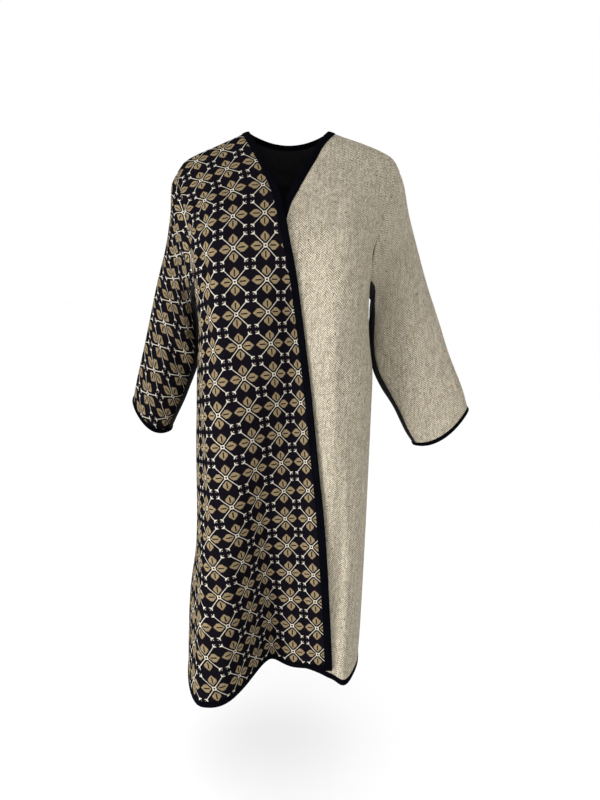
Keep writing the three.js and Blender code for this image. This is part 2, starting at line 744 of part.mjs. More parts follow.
const sleeves = [
  { side: 'right', rows: rightSleeve, folds: rightSleeveFolds, cloth: embroidered },
  { side: 'left', rows: leftSleeve, folds: leftSleeveFolds, cloth: tweed },
];
for (const { side, rows, folds, cloth } of sleeves) {
  const fore = sleeveGrid(rows, folds, true);
  const rear = sleeveGrid(rows, folds, false);
  coat.add(clothMesh(`sleeve_${side}_front`, tuckLastRow(fore), cloth));
  coat.add(clothMesh(`sleeve_${side}_back`, tuckLastRow(rear), black));
  const ring = [...hemStations(fore, sleeveRound), ...hemStations(rear, sleeveRound)];
  coat.add(tapeMesh(`binding_cuff_${side}`, ring, true, tape));
}

export default coat;
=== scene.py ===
# Abaya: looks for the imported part. Tables are in millimetres as the cutting table has them, meshes in metres.
import math
from functools import partial
import bmesh
import bpy
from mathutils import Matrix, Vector


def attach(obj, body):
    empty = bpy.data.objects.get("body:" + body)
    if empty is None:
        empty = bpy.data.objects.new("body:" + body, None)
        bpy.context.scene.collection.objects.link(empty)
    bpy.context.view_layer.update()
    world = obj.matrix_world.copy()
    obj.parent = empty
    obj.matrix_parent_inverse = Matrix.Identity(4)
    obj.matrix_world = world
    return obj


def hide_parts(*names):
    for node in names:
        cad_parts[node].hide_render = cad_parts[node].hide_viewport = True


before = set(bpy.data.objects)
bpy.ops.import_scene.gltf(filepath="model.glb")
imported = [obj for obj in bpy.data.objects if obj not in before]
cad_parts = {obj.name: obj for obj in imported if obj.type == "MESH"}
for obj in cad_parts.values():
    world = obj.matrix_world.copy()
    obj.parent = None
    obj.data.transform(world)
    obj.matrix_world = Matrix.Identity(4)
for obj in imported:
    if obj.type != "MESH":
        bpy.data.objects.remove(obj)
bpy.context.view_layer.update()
print("frame loaded:", len(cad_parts), "nodes")

mm = 0.001


def table(columns, *rows):
    names = columns.split()
    return [dict(zip(names, row)) for row in rows]


coat = {
    "wall": 1.9,  # cloth thickness
    "lapLift": 5.4,  # how far the right front stands off where it laps
    "underLap": 4.0,  # how far the left front lies in beneath it
    "neckHalf": 84.0,
    "neckBackDrop": 24.0,
    "neckBlend": 130.0,  # length of cloth over which the back's neckline evens out
    "armholeFoot": 345.0,  # drop from the neck points to the foot of the armholes
    "hemDrop": 1176.0,
    "hemDipPower": 1.5,
    "shoulderRound": 100.0,
    "halvings": 26,  # steps of the search for a row's end on the armhole
    "fineSteps": 90,
    "rowIn": 4.0,  # how far in the row lies that shows which way cloth runs on past an edge
    "nudge": 1.5,  # how far off the places are that a folded tape's normals come from
}

shoulderLine = table("x z", (-240, -82), (-225, -62), (-200, -47), (-160, -31), (-120, -14), (-84, 0),
                     (0, 5), (84, 0), (120, -11), (160, -24), (200, -40), (225, -56), (240, -82))

frontProfile = table("drop out", (0, 0), (1.5, 7), (8, 15), (20, 26), (43, 40), (100, 76), (155, 110),
                     (210, 134), (260, 143), (345, 142), (450, 137), (640, 131), (850, 119),
                     (1000, 113), (1176, 109))
backProfile = table("drop out", (0, 0), (1.5, 7), (8, 16), (20, 28), (45, 43), (95, 65), (155, 85),
                    (220, 97), (345, 98), (480, 92), (640, 95), (850, 104), (1000, 112), (1176, 122))

rightSide = table("z x y round", (-345, -204, 0, 70), (-370, -202, 2, 72), (-410, -200, 3, 76),
                  (-450, -202, 2, 78), (-505, -206, 0, 76), (-650, -212, -4, 70), (-880, -216, -10, 62),
                  (-1020, -234, -18, 60), (-1120, -239, -24, 58), (-1206, -241, -28, 56))
leftSide = table("z x y round", (-345, 178, 0, 66), (-370, 177, 2, 68), (-410, 177, 3, 72),
                 (-450, 180, 2, 74), (-510, 187, 0, 72), (-580, 186, -2, 70), (-700, 183, -4, 66),
                 (-900, 177, -12, 60), (-1100, 169, -22, 54), (-1206, 163, -26, 50))

rightEdge = table("z x", (0, -84), (-30, -68), (-70, -48), (-108, -30.5), (-140, -18), (-184, -5.5),
                  (-230, 3), (-318, 20), (-513, 46), (-690, 64), (-824, 77), (-1010, 88), (-1176, 96))
leftEdge = table("z x", (0, 84), (-32, 60), (-65, 43), (-99, 24.5), (-130, 8), (-165, -9.5),
                 (-230, -25), (-318, -38), (-513, -60), (-824, -84), (-1176, -104))

rightHemDip = table("x dip", (-241, 30), (-176, 41), (-110, 31), (-60, 10), (-20, 3), (20, 1), (96, -2))
leftHemDip = table("x dip", (-104, 0), (0, 2), (68, 13), (122, 32), (163, 29))
backHemDip = table("x dip", (-241, 30), (-120, 31), (0, 25), (90, 28), (163, 29))

foldColumns = "name power topZ topX topWide midZ midX midWide midDeep lowX lowWide lowDeep"
frontFolds = table(
    foldColumns,
    ("bust cone", 3, -380, -116, 62, -680, -130, 70, 36, -176, 78, 86),
    ("valley", 2, -640, -66, 30, -940, -48, 36, -15, -45, 38, -39),
    ("middle dip", 2, -190, 14, 44, -390, 16, 46, -28, 10, 40, 6),
    ("edge crest", 2, -700, 62, 34, -950, 66, 34, 11, 74, 34, 14),
    ("left crest", 2, -230, 96, 24, -620, 94, 26, 8, 90, 30, 2),
    ("left cone", 2, -560, 128, 26, -900, 126, 26, 9, 122, 30, 28),
    ("narrow trough", 2, -640, 112, 12, -950, 110, 13, -7, 104, 15, -8),
    ("right armhole crumple", 2, -150, -176, 14, -262, -168, 15, -7, -150, 30, 0),
    ("left armhole drag", 2, -150, 152, 16, -270, 142, 20, -5, 120, 30, 0),
)
backFolds = table(
    foldColumns,
    ("right cone", 2, -300, -92, 44, -700, -104, 46, 12, -126, 48, 34),
    ("middle trough", 2, -260, -14, 40, -680, -22, 42, -11, -34, 42, -22),
    ("left cone", 2, -360, 66, 38, -740, 60, 40, 12, 56, 44, 27),
    ("side trough", 2, -560, 112, 22, -860, 112, 24, -7, 110, 26, -14),
)

sleeveColumns = "along outX outZ inX inZ mid deep pinch bow sag"
rightSleeve = table(
    sleeveColumns,
    (0.00, -240, -82, -204, -345, 0, 61, 1.3, 12, 0),
    (0.04, -254, -104, -213, -358, 12, 60, 1.2, 9, 0),
    (0.15, -262, -158, -210, -396, 30, 57, 1.1, 4, 0),
    (0.30, -275, -229, -208, -437, 32, 53, 1, 0, 0),
    (0.45, -294, -301, -210, -484, 25, 49, 1, 0, 0),
    (0.60, -310, -372, -222, -528, 17, 47, 1, 0, 4),
    (0.75, -325, -444, -239, -571, 5, 45, 1, 0, 9),
    (0.90, -343, -524, -260, -616, -8, 45, 1, 0, 16),
    (1.00, -353, -575, -273, -645, -15, 45, 1, 0, 21),
)
leftSleeve = table(
    sleeveColumns,
    (0.00, 240, -82, 178, -345, 0, 61, 1.3, -20, 0),
    (0.04, 251, -108, 187, -358, 12, 58, 1.2, -16, 0),
    (0.15, 266, -163, 183, -399, 30, 53, 1.1, -8, 0),
    (0.30, 289, -242, 185, -450, 32, 47, 1, -2, 0),
    (0.45, 312, -320, 192, -505, 25, 41, 1, 0, 0),
    (0.60, 338, -397, 215, -556, 16, 37, 1, 0, 4),
    (0.75, 363, -474, 244, -602, 5, 33, 1, 0, 9),
    (0.90, 393, -549, 268, -650, -6, 28, 1, 0, 17),
    (1.00, 408, -600, 288, -680, -12, 25, 1, 0, 22),
)
sleeveFoldColumns = "along at reach spread deep"
rightSleeveFolds = table(
    sleeveFoldColumns, (0.22, 128, 0.09, 26, -9), (0.40, 70, 0.07, 40, -5), (0.58, 118, 0.06, 34, -6),
    (0.34, 250, 0.08, 40, -7), (0.66, 230, 0.07, 40, -6))
leftSleeveFolds = table(
    sleeveFoldColumns, (0.20, 124, 0.09, 26, -9), (0.44, 96, 0.06, 44, -5), (0.62, 130, 0.07, 30, -5),
    (0.36, 244, 0.08, 40, -7), (0.68, 228, 0.07, 40, -5))
topSeam = -12.0
underSeam = table("along at", (0, 136), (0.15, 138), (0.35, 152), (1, 154))


# Smooth value of one column of a table, by its key column
def read(rows, key, column, at):
    up = 1 if rows[1][key] > rows[0][key] else -1
    last = len(rows) - 1
    i = 0
    while i < last - 1 and up * at > up * rows[i + 1][key]:
        i += 1

    def slope(k):
        a, b = rows[max(k - 1, 0)], rows[min(k + 1, last)]
        return (b[column] - a[column]) / (b[key] - a[key])

    start, stop = rows[i], rows[i + 1]
    span = stop[key] - start[key]
    t = min(max((at - start[key]) / span, 0), 1)
    t2, t3 = t * t, t * t * t
    ends = (2 * t3 - 3 * t2 + 1) * start[column] + (3 * t2 - 2 * t3) * stop[column]
    return ends + span * ((t3 - 2 * t2 + t) * slope(i) + (t3 - t2) * slope(i + 1))


def ease(t):
    c = min(max(t, 0), 1)
    return c * c * (3 - 2 * c)


# A profile gets a column with the length of cloth down to each row
def measured(profile):
    length = 0
    for i, row in enumerate(profile):
        if i > 0:
            above = profile[i - 1]
            length += math.hypot(row["drop"] - above["drop"], row["out"] - above["out"])
        row["length"] = length
    return profile


def foldDepth(folds, x, z):
    total = 0
    for f in folds:
        if z > f["topZ"]:
            continue
        if z < f["midZ"]:
            start, stop, t = "mid", "low", (z - f["midZ"]) / (-coat["hemDrop"] - f["midZ"])
            deep = f["midDeep"] + (f["lowDeep"] - f["midDeep"]) * t
        else:
            start, stop, t = "top", "mid", (z - f["topZ"]) / (f["midZ"] - f["topZ"])
            deep = f["midDeep"] * ease(t)
        centre, wide = (f[start + name] + (f[stop + name] - f[start + name]) * t for name in ("X", "Wide"))
        total += deep * math.exp(-abs((x - centre) / wide) ** f["power"])
    return total


def sleevePoint(rows, along, at, folds=()):
    v = {name: read(rows, "along", name, along) for name in sleeveColumns.split()[1:]}
    c, s = math.cos(math.radians(at)), math.sin(math.radians(at))
    midX, midZ = (v["outX"] + v["inX"]) / 2, (v["outZ"] + v["inZ"]) / 2
    x = midX + (v["outX"] - v["inX"]) / 2 * c + v["bow"] * s * s
    z = midZ + (v["outZ"] - v["inZ"]) / 2 * c - v["sag"] * max(s, 0) ** 2
    y = v["mid"] - v["deep"] * math.copysign(abs(s) ** v["pinch"], s)
    spoke = Vector((x - midX, y - v["mid"], z - midZ)).normalized()
    lift = 0
    for f in folds:
        a, b = (along - f["along"]) / f["reach"], (at - f["at"]) / f["spread"]
        lift += f["deep"] * math.exp(-a * a - b * b)
    return Vector((x, y, z)) + spoke * lift


def hemShare(drop):
    below = (drop - coat["armholeFoot"]) / (coat["hemDrop"] - coat["armholeFoot"])
    return max(below, 0) ** coat["hemDipPower"]


def rowHeight(piece, drop, x):
    shoulder = read(shoulderLine, "x", "z", x) * (1 - ease(drop / coat["armholeFoot"]))
    return shoulder - drop - read(piece["hemDip"], "x", "dip", x) * hemShare(drop)


# Where a body row ends at the side: on the armhole, or on the side seam below it
def sideEnd(piece, side, sleeve, drop):
    if drop < coat["armholeFoot"]:
        low, high = 0.0, 180.0
        for _ in range(coat["halvings"]):
            at = (low + high) / 2
            p = sleevePoint(sleeve, 0, at)
            if p.z > rowHeight(piece, drop, p.x):
                low = at
            else:
                high = at
        share = drop / coat["armholeFoot"]
        reach = coat["shoulderRound"] + (side[0]["round"] - coat["shoulderRound"]) * share
        return {"point": sleevePoint(sleeve, 0, (low + high) / 2 * piece["facing"]),
                "round": reach, "firm": 1 + share * share}
    z = -drop - read(piece["hemDip"], "x", "dip", side[-1]["x"]) * hemShare(drop)
    point = Vector((read(side, "z", "x", z), read(side, "z", "y", z), z))
    return {"point": point, "round": read(side, "z", "round", z), "firm": 2}


def rise(end, x):
    t = min(abs(x - end["point"].x) / end["round"], 1)
    return (1 - (1 - t) * (1 - t)) ** (1 / end["firm"])


def bodyPoint(piece, length, x, ends):
    neck = piece["neck"](x) if "neck" in piece else 0
    down = length + neck * max(1 - length / coat["neckBlend"], 0)
    drop = read(piece["profile"], "length", "drop", down)
    z = rowHeight(piece, drop, x)
    stand = -piece["facing"] * (read(piece["profile"], "length", "out", down)
                                + foldDepth(piece["folds"], x, z))
    y = stand
    for end in ends:
        if end["point"]:
            y += (end["point"].y - stand) * (1 - rise(end, x))
    return Vector((x, y, z))


# A row of fine points across a panel, crowded towards a rounded side; it also gives rows past the
# neck and the hem
def fineRow(piece, length):
    total, rowIn = piece["profile"][-1]["length"], coat["rowIn"]
    if length > total:
        return beyond(fineRow(piece, total), fineRow(piece, total - rowIn), (length - total) / rowIn)
    if length < 0:
        return beyond(fineRow(piece, 0), fineRow(piece, rowIn), -length / rowIn)
    if length not in piece["rows"]:
        drop = read(piece["profile"], "length", "drop", length)
        ends = [piece["start"](drop), piece["end"](drop)]
        xs = [end["point"].x if end["point"] else end["x"] for end in ends]
        points = []
        for i in range(coat["fineSteps"] + 1):
            t = i / coat["fineSteps"]
            if ends[0]["point"] and ends[1]["point"]:
                share = (1 - math.cos(math.pi * t)) / 2
            else:
                share = t * t
            points.append(bodyPoint(piece, length, xs[0] + (xs[1] - xs[0]) * share, ends))
        piece["rows"][length] = points
    return piece["rows"][length]


def beyond(edge, inland, share):
    return [a + (a - b) * share for a, b in zip(edge, inland)]


# Length along a line of points up to each of them
def runOf(points):
    run = [0]
    for a, b in zip(points, points[1:]):
        run.append(run[-1] + (b - a).length)
    return run


# Places at given distances along a line of points; before 0 and past the end it runs straight on
def placesOn(points, wanted):
    run = runOf(points)
    places = []
    k = 1
    for want in wanted:
        k = 1 if want < run[k - 1] else k
        while k < len(points) - 1 and run[k] < want:
            k += 1
        t = (want - run[k - 1]) / (run[k] - run[k - 1])
        places.append(points[k - 1].lerp(points[k], t))
    return places


# Creases of the fronts and back: lines in the front view, a trough has a negative depth
creaseColumns = "x0 z0 x1 z1 wide deep"
rightCreases = table(
    creaseColumns,
    (-206, -120, -150, -236, 9, -4.5), (-214, -168, -158, -292, 8, -4), (-190, -236, -152, -330, 8, -4.5),
    (-196, -300, -160, -420, 10, -3.5), (-150, -96, -96, -170, 16, -2.5), (-182, -380, -120, -560, 18, -3),
    (-60, -150, -34, -240, 20, -1.5), (-196, -560, -170, -860, 14, -4),
    (-130, -820, -140, -1190, 16, 3), (-20, -820, 6, -1140, 16, 2.5),
    (-206, -900, -212, -1180, 12, -4), (-110, -330, -84, -520, 20, -2))
leftCreases = table(
    creaseColumns,
    (196, -150, 150, -250, 9, -4), (186, -226, 148, -330, 10, -5), (176, -300, 140, -470, 12, -4),
    (60, -120, 110, -210, 20, -2), (120, -260, 112, -640, 14, -3), (88, -330, 98, -720, 12, 2.5),
    (140, -520, 132, -900, 10, -3), (118, -820, 112, -1150, 8, -3), (150, -640, 146, -1100, 9, 2.5),
    (30, -190, 64, -400, 18, -2))
backCreases = table(
    creaseColumns,
    (-200, -150, -120, -260, 12, -6), (190, -160, 120, -280, 12, -6), (-160, -260, -110, -420, 14, -5),
    (150, -300, 110, -460, 13, -5), (-60, -90, 50, -104, 12, -4), (-30, -300, -60, -700, 17, -4.5),
    (20, -420, 30, -900, 16, 4.5), (-150, -560, -170, -1160, 12, -5.5), (100, -600, 92, -1160, 11, -5.5),
    (-90, -780, -96, -1190, 10, -4.5), (-4, -860, -10, -1190, 12, 5), (150, -700, 142, -1180, 9, -4))
creaseEnds = {"past": 0.1, "fade": 0.4}


# What creases add at a place. Each is a soft line that fades out just past its ends, and squash is
# how long a step of z is as against a step of x
def creaseDepth(creases, x, z, squash=1):
    past, fade = creaseEnds["past"], creaseEnds["fade"]
    total = 0
    for c in creases:
        dx, dz = c["x1"] - c["x0"], (c["z1"] - c["z0"]) * squash
        px, pz = x - c["x0"], (z - c["z0"]) * squash
        t = (px * dx + pz * dz) / (dx * dx + dz * dz)
        if not -past < t < 1 + past:
            continue
        gap = abs(px * dz - pz * dx) / math.hypot(dx, dz)
        depth = c["deep"] * math.exp(-(gap / c["wide"]) ** 2)
        total += depth * ease((t + past) / fade) * ease((1 + past - t) / fade)
    return total


# Where the right front lifts and the left front sinks into the lap, and over what distance
lap = {
    "sideX": -205, "sideOver": 80, "topZ": -10, "topOver": 110,
    "underX": 110, "underXOver": 50, "underZ": -250, "underZOver": 600,
}


def lapShare(point):
    return (coat["lapLift"] * ease((point.x - lap["sideX"]) / lap["sideOver"])
            * ease((lap["topZ"] - point.z) / lap["topOver"]))


def underShare(point):
    return (-coat["underLap"] * ease((lap["underZ"] - point.z) / lap["underZOver"])
            * ease((lap["underX"] - point.x) / lap["underXOver"]))


def frontPiece(side, sleeve, edge, hemDip, hand, lift, creases):
    piece = {"facing": 1, "hand": hand, "hemDip": hemDip, "lift": lift, "profile": measured(frontProfile),
             "folds": frontFolds, "creases": creases, "rows": {}, "edge": edge}
    piece["start"] = lambda drop: sideEnd(piece, side, sleeve, drop)
    piece["end"] = lambda drop: {"point": None, "x": read(edge, "z", "x", -drop)}
    return piece


def backPiece():
    profile = measured(backProfile)

    def neck(x):
        dip = coat["neckBackDrop"] * max(1 - (x / coat["neckHalf"]) ** 2, 0)
        return read(profile, "drop", "length", dip)

    piece = {"facing": -1, "hand": 1, "hemDip": backHemDip, "lift": lambda p: 0, "profile": profile,
             "folds": backFolds, "creases": backCreases, "rows": {}, "neck": neck}
    piece["start"] = lambda drop: sideEnd(piece, rightSide, rightSleeve, drop)
    piece["end"] = lambda drop: sideEnd(piece, leftSide, leftSleeve, drop)
    return piece


# Normal of a grid of places at one of them, from its neighbours
def normalAt(rows, i, j):
    row = rows[j]
    across = row[min(i + 1, len(row) - 1)] - row[max(i - 1, 0)]
    down = rows[min(j + 1, len(rows) - 1)][i] - rows[max(j - 1, 0)][i]
    return across.cross(down).normalized()


# A grid of places on a body panel, moved out along its normals by lift, creases and each place's own
# offset. A folded tape turns back on itself, so its normals come from places a nudge away
def bodyGrid(piece, lengths, wanted, offsets, folded=False):
    def rowAt(j, down=0, aside=0):
        points = fineRow(piece, lengths[j] + down)
        return placesOn(points, [want + aside for want in wanted(j, runOf(points)[-1])])

    rows = [rowAt(j) for j in range(len(lengths))]
    nudge = coat["nudge"]
    moved = []
    for j, places in enumerate(rows):
        if folded:
            near = zip(places, rowAt(j, 0, nudge), rowAt(j, -nudge), rowAt(j, nudge))
            normals = [(ahead - p).cross(below - above).normalized() for p, ahead, above, below in near]
        else:
            normals = [normalAt(rows, i, j) for i in range(len(places))]
        row = []
        for p, normal, offset in zip(places, normals, offsets[j]):
            out = piece["lift"](p) + creaseDepth(piece["creases"], p.x, p.z) + offset
            row.append(p + normal * piece["hand"] * out)
        moved.append(row)
    return moved


weldDistance = 0.00002


# Moves a bmesh grid onto rows of places and gives it a UV map in metres of cloth
def gridMesh(name, rows, cloth, outward, closed=False):
    down, across = len(rows) - 1, len(rows[0]) - 1
    bm = bmesh.new()
    bmesh.ops.create_grid(bm, x_segments=across, y_segments=down, size=0.5)
    uvLayer = bm.loops.layers.uv.new("cloth")
    spot = {}
    for v in bm.verts:
        i, j = round((v.co.x + 0.5) * across), round((0.5 - v.co.y) * down)
        spot[v] = (i, j)
    for face in bm.faces:
        for loop in face.loops:
            i, j = spot[loop.vert]
            loop[uvLayer].uv = cloth(i, j)
    for v, (i, j) in spot.items():
        v.co = rows[j][i] * mm
    if outward:
        bmesh.ops.reverse_faces(bm, faces=bm.faces[:])
    if closed:
        bmesh.ops.remove_doubles(bm, verts=bm.verts[:], dist=weldDistance)
    mesh = bpy.data.meshes.new(name)
    bm.to_mesh(mesh)
    bm.free()
    mesh.polygons.foreach_set("use_smooth", [True] * len(mesh.polygons))
    piece = bpy.data.objects.new(name, mesh)
    bpy.context.collection.objects.link(piece)
    return piece


def addWall(piece, thickness, offset=0.0):
    wall = piece.modifiers.new("wall", "SOLIDIFY")
    wall.thickness = thickness * mm
    wall.offset = offset
    wall.use_even_offset = False
    wall.use_quality_normals = True


print("shape functions ready")

# Cloth dips a little into a sewn seam, and has a few fine rows beside it
seam = {"dip": 1.5, "reach": 2.4, "fine": [0.9, 2.2, 4.0]}


def seamDip(away):
    return -seam["dip"] * math.exp(-(away / seam["reach"]) ** 2)


# Even places along a row that starts at a seam, and stops at one or at a bound edge
def spread(count, stop, sewnStop=True):
    head = [0, *seam["fine"]]
    tail = ([stop - f for f in reversed(seam["fine"])] if sewnStop else []) + [stop]
    low, high = head[-1], tail[0]
    return head + [low + (high - low) * i / count for i in range(1, count)] + tail


# How much longer a tape is across, along a row that meets the edge aslant
def slantOf(piece, length):
    points = fineRow(piece, length)
    row = (points[-1] - points[-2]).normalized()
    step = binding["slantStep"]
    down = (fineRow(piece, length + step)[-1] - fineRow(piece, length - step)[-1]).normalized()
    cos = abs(row.dot(down))
    return 1 / math.sqrt(1 - cos * cos)


right = frontPiece(rightSide, rightSleeve, rightEdge, rightHemDip, -1, lapShare, rightCreases)
left = frontPiece(leftSide, leftSleeve, leftEdge, leftHemDip, 1, underShare, leftCreases)
rear = backPiece()

panel = {
    "frontAcross": 96,
    "backAcross": 120,
    "down": 250,
    "edgeTuck": 1.2,  # cloth ends inside the fold of its binding
}


# Cloth of a body panel, bound down its far edge or sewn at both sides. Its grain takes how far a
# place is along its row, the row's whole length and the length of cloth down to it
def bodyCloth(name, piece, bound, grain):
    count = panel["frontAcross"] if bound else panel["backAcross"]
    lengths = spread(panel["down"], piece["profile"][-1]["length"] - panel["edgeTuck"], False)
    totals = [runOf(fineRow(piece, length))[-1] for length in lengths]
    places, offsets = [], []
    for total in totals:
        places.append(spread(count, total - panel["edgeTuck"] if bound else total, not bound))
        offsets.append([seamDip(s if bound else min(s, total - s)) for s in places[-1]])
    rows = bodyGrid(piece, lengths, lambda j, total: places[j], offsets)
    return gridMesh(name, rows, lambda i, j: grain(places[j][i], totals[j], lengths[j]), piece["hand"] == 1)


flower = {
    "cellWide": 59.5, "cellTall": 63.8,
    "ringOut": 3.9, "ringIn": 1.9,
    "petalStartX": 6.0, "petalStartY": 7.0, "petalLengthX": 22.6, "petalLengthY": 21.2, "petalHalf": 9.4,
    "stitchRow": 1.7, "slitFrom": 3.6, "slitTo": 15.6, "slitHalf": 1.3,
    "stemX": 21.8, "stemY": 23.5, "stemHalf": 0.65, "stemFrom": 4.6, "stemTo": 29.4, "twist": 2.6,
    "startSlope": 1.05, "startHalf": 0.8, "tipSlope": 0.95, "petalIn": 0.4, "petalSoft": 0.6, "soft": 0.7,
    "twill": 1.5, "twillHeight": 0.05,
}
tipSquares = table("x y wide tall", (21.6, 23.6, 1.9, 1.9), (20.4, 26.6, 0.8, 1.6), (24.8, 22.6, 1.7, 0.8),
                   (25.0, 27.0, 0.7, 0.7))

# Where the first column of flowers lies in from the edge, by length down the cloth, and how far
# the rows drop towards the side seam
flowerColumn = table("length in", (0, -55), (97, -38), (163, -28.5), (227, -16), (289, -6.5), (352, 6.5),
                     (411, 17.5), (478, 22), (607, 26), (793, 29), (900, 31), (1054, 28.5), (1300, 29.5))
flowerRows = {"start": 33.0, "droop": 28.0, "droopAt": 240.0, "gather": 3.2, "gatherOver": 119.0}
rowDroop = table("length share", (0, 0), (97, 0), (420, 1), (560, 0.95), (800, 0.55), (1000, 0), (1300, 0))


def flowerGrain(along, total, length):
    x = -(total - along - read(flowerColumn, "length", "in", length))
    gathered = min(max(-x / flowerRows["gatherOver"], 0), 1)
    x -= flowerRows["gather"] * math.sin(math.pi * gathered) ** 2
    droop = flowerRows["droop"] * (min(x, 0) / flowerRows["droopAt"]) ** 2
    droop *= read(rowDroop, "length", "share", length)
    return (x * mm, (flowerRows["start"] - length + droop) * mm)


# The tweed's grain is straight: below the neckline it follows this line and not the front edge
tweedLine = {"x": -38, "lean": 66, "fromDrop": 318, "over": 858}


def tweedGrain(along, total, length):
    drop = read(left["profile"], "length", "drop", length)
    straight = tweedLine["x"] - tweedLine["lean"] * (drop - tweedLine["fromDrop"]) / tweedLine["over"]
    shift = abs(straight - read(left["edge"], "z", "x", -drop))
    return (-(total - along + shift) * mm, -length * mm)


def backGrain(along, total, length):
    return ((along - total / 2) * mm, -length * mm)


frontRight = bodyCloth("front_right_cloth", right, True, flowerGrain)
frontLeft = bodyCloth("front_left_cloth", left, True, tweedGrain)
print("fronts made")
back = bodyCloth("back_cloth", rear, False, backGrain)
print("back made")

sleeveMesh = {
    "around": 56,
    "along": 150,
    "fineShares": (0, 0.0015, 0.0035, 0.006),  # rows close to the armhole seam
    "fineSteps": 72,
    "cuffTuck": 1.2,
    "rowIn": 0.99,  # the row that shows which way the cloth runs out at the cuff
    "length": 560,  # about how long a sleeve is
    "squash": 0.35,  # about how wide a half is, as a share of that length
}


# Half of a sleeve; UV follows its length and the way round
def sleeveHalf(name, rows, folds, isFront, creases, grain):
    side = 1 if rows[0]["outX"] > 0 else -1
    count, steps = sleeveMesh["along"], sleeveMesh["fineSteps"]
    *fine, start = sleeveMesh["fineShares"]
    shares = fine + [start + (1 - start) * j / count for j in range(count + 1)]

    def arc(along, first, last):
        turns = [first + (last - first) * k / steps for k in range(steps + 1)]
        return [sleevePoint(rows, along, at, folds) for at in turns]

    grid, spacings = [], []
    for share in shares:
        along = min(share, 1)
        under = read(underSeam, "along", "at", along)
        first, last = (topSeam, under) if isFront else (under, topSeam + 360)
        line = arc(along, first, last)
        if along == 1:
            rowIn = arc(sleeveMesh["rowIn"], first, last)
            line = [a - (a - b).normalized() * sleeveMesh["cuffTuck"] for a, b in zip(line, rowIn)]
        spacings.append(spread(sleeveMesh["around"], runOf(line)[-1]))
        grid.append(placesOn(line, spacings[-1]))
    down = runOf([places[len(places) // 2] for places in grid])

    moved = []
    for j, (places, spacing) in enumerate(zip(grid, spacings)):
        row = []
        for i, (p, s) in enumerate(zip(places, spacing)):
            out = seamDip(min(s, spacing[-1] - s)) + seamDip(shares[j] * sleeveMesh["length"])
            out += creaseDepth(creases, shares[j], i / (len(places) - 1), sleeveMesh["squash"])
            row.append(p + normalAt(grid, i, j) * side * out)
        moved.append(row)

    def cloth(i, j):
        return grain((spacings[j][i] - spacings[j][-1] / 2) * side, -down[j])

    return gridMesh(name, moved, cloth, side == 1)


# Creases of the sleeves: x is a share of the sleeve's length and z a share of the way across a half
sleeveCreases = {
    "sleeve_right_front": table(
        creaseColumns, (0.05, 0.75, 0.26, 0.40, 0.012, -4.5), (0.14, 0.86, 0.40, 0.52, 0.013, -4),
        (0.30, 0.95, 0.60, 0.66, 0.014, -3.5), (0.46, 0.92, 0.74, 0.60, 0.014, -3),
        (0.10, 0.25, 0.5, 0.35, 0.02, 2), (0.55, 0.20, 0.95, 0.32, 0.018, -2)),
    "sleeve_right_back": table(
        creaseColumns, (0.10, 0.2, 0.34, 0.5, 0.015, -4.5), (0.28, 0.1, 0.56, 0.4, 0.015, -4),
        (0.4, 0.5, 0.8, 0.62, 0.02, -3), (0.6, 0.2, 0.95, 0.36, 0.016, -2.5)),
    "sleeve_left_front": table(
        creaseColumns, (0.05, 0.78, 0.22, 0.45, 0.012, -4.5), (0.16, 0.9, 0.42, 0.55, 0.014, -3.5),
        (0.34, 0.95, 0.62, 0.72, 0.014, -3), (0.5, 0.9, 0.86, 0.7, 0.016, -2.5),
        (0.2, 0.3, 0.7, 0.4, 0.02, 1.8)),
    "sleeve_left_back": table(
        creaseColumns, (0.12, 0.2, 0.36, 0.48, 0.015, -4.5), (0.3, 0.12, 0.58, 0.38, 0.015, -4),
        (0.42, 0.5, 0.82, 0.6, 0.02, -3), (0.62, 0.2, 0.95, 0.34, 0.016, -2.5)),
}

# The sleeve's flowers stand in line with its length; their columns draw in towards the shoulder
sleeveFlowers = {
    "rowsMeet": -300.0, "rowOuter": 50.0, "rowInner": 61.0, "innerAt": -85.0, "outerAt": 8.0,
    "leastShare": -0.6, "mostShare": 1.2,
    "drawnBelow": -420.0, "drawnOver": 170.0, "cuffWide": 0.967, "topWide": 0.70, "topIn": -8.9,
}


def sleeveFlowerGrain(x, y):
    s = sleeveFlowers
    share = min(max((x - s["outerAt"]) / (s["innerAt"] - s["outerAt"]), s["leastShare"]), s["mostShare"])
    row = s["rowOuter"] + (s["rowInner"] - s["rowOuter"]) * share
    upper = ease((y - s["drawnBelow"]) / s["drawnOver"])
    place = x * (s["cuffWide"] + (s["topWide"] - s["cuffWide"]) * upper) + s["topIn"] * upper
    return (place * mm, (y - s["rowsMeet"]) * flower["cellTall"] / row * mm)


def plainGrain(x, y):
    return (x * mm, y * mm)


halves = {}
for side, rows, folds in (("right", rightSleeve, rightSleeveFolds), ("left", leftSleeve, leftSleeveFolds)):
    for part, isFront in (("front", True), ("back", False)):
        node = f"sleeve_{side}_{part}"
        grain = sleeveFlowerGrain if node == "sleeve_right_front" else plainGrain
        halves[node] = sleeveHalf(node + "_cloth", rows, folds, isFront, sleeveCreases[node], grain)
print("sleeves made")

binding = {
    "frontWidth": 15.0,
    "hemWidth": 13.0,
    "cuffWidth": 8.0,
    "thickness": 0.6,
    "crown": 2.3,
    "neckGap": 0.3,  # how far below the neck point a front tape starts
    "seamGap": 0.2,  # how far from a side seam a hem tape stops
    "cornerGap": 15.2,  # how far from a front edge it stops, where the front tape runs on down
    "neckReach": 88.0,  # half the length of the back neck's tape
    "rowIn": 0.98,  # the row that shows which way the cloth runs out at the cuff
    "slantStep": 2,
    "firstSlant": 3,  # no slant is taken nearer to the neck point than this
    "frontStations": 260,
    "cuffStations": 120,
}


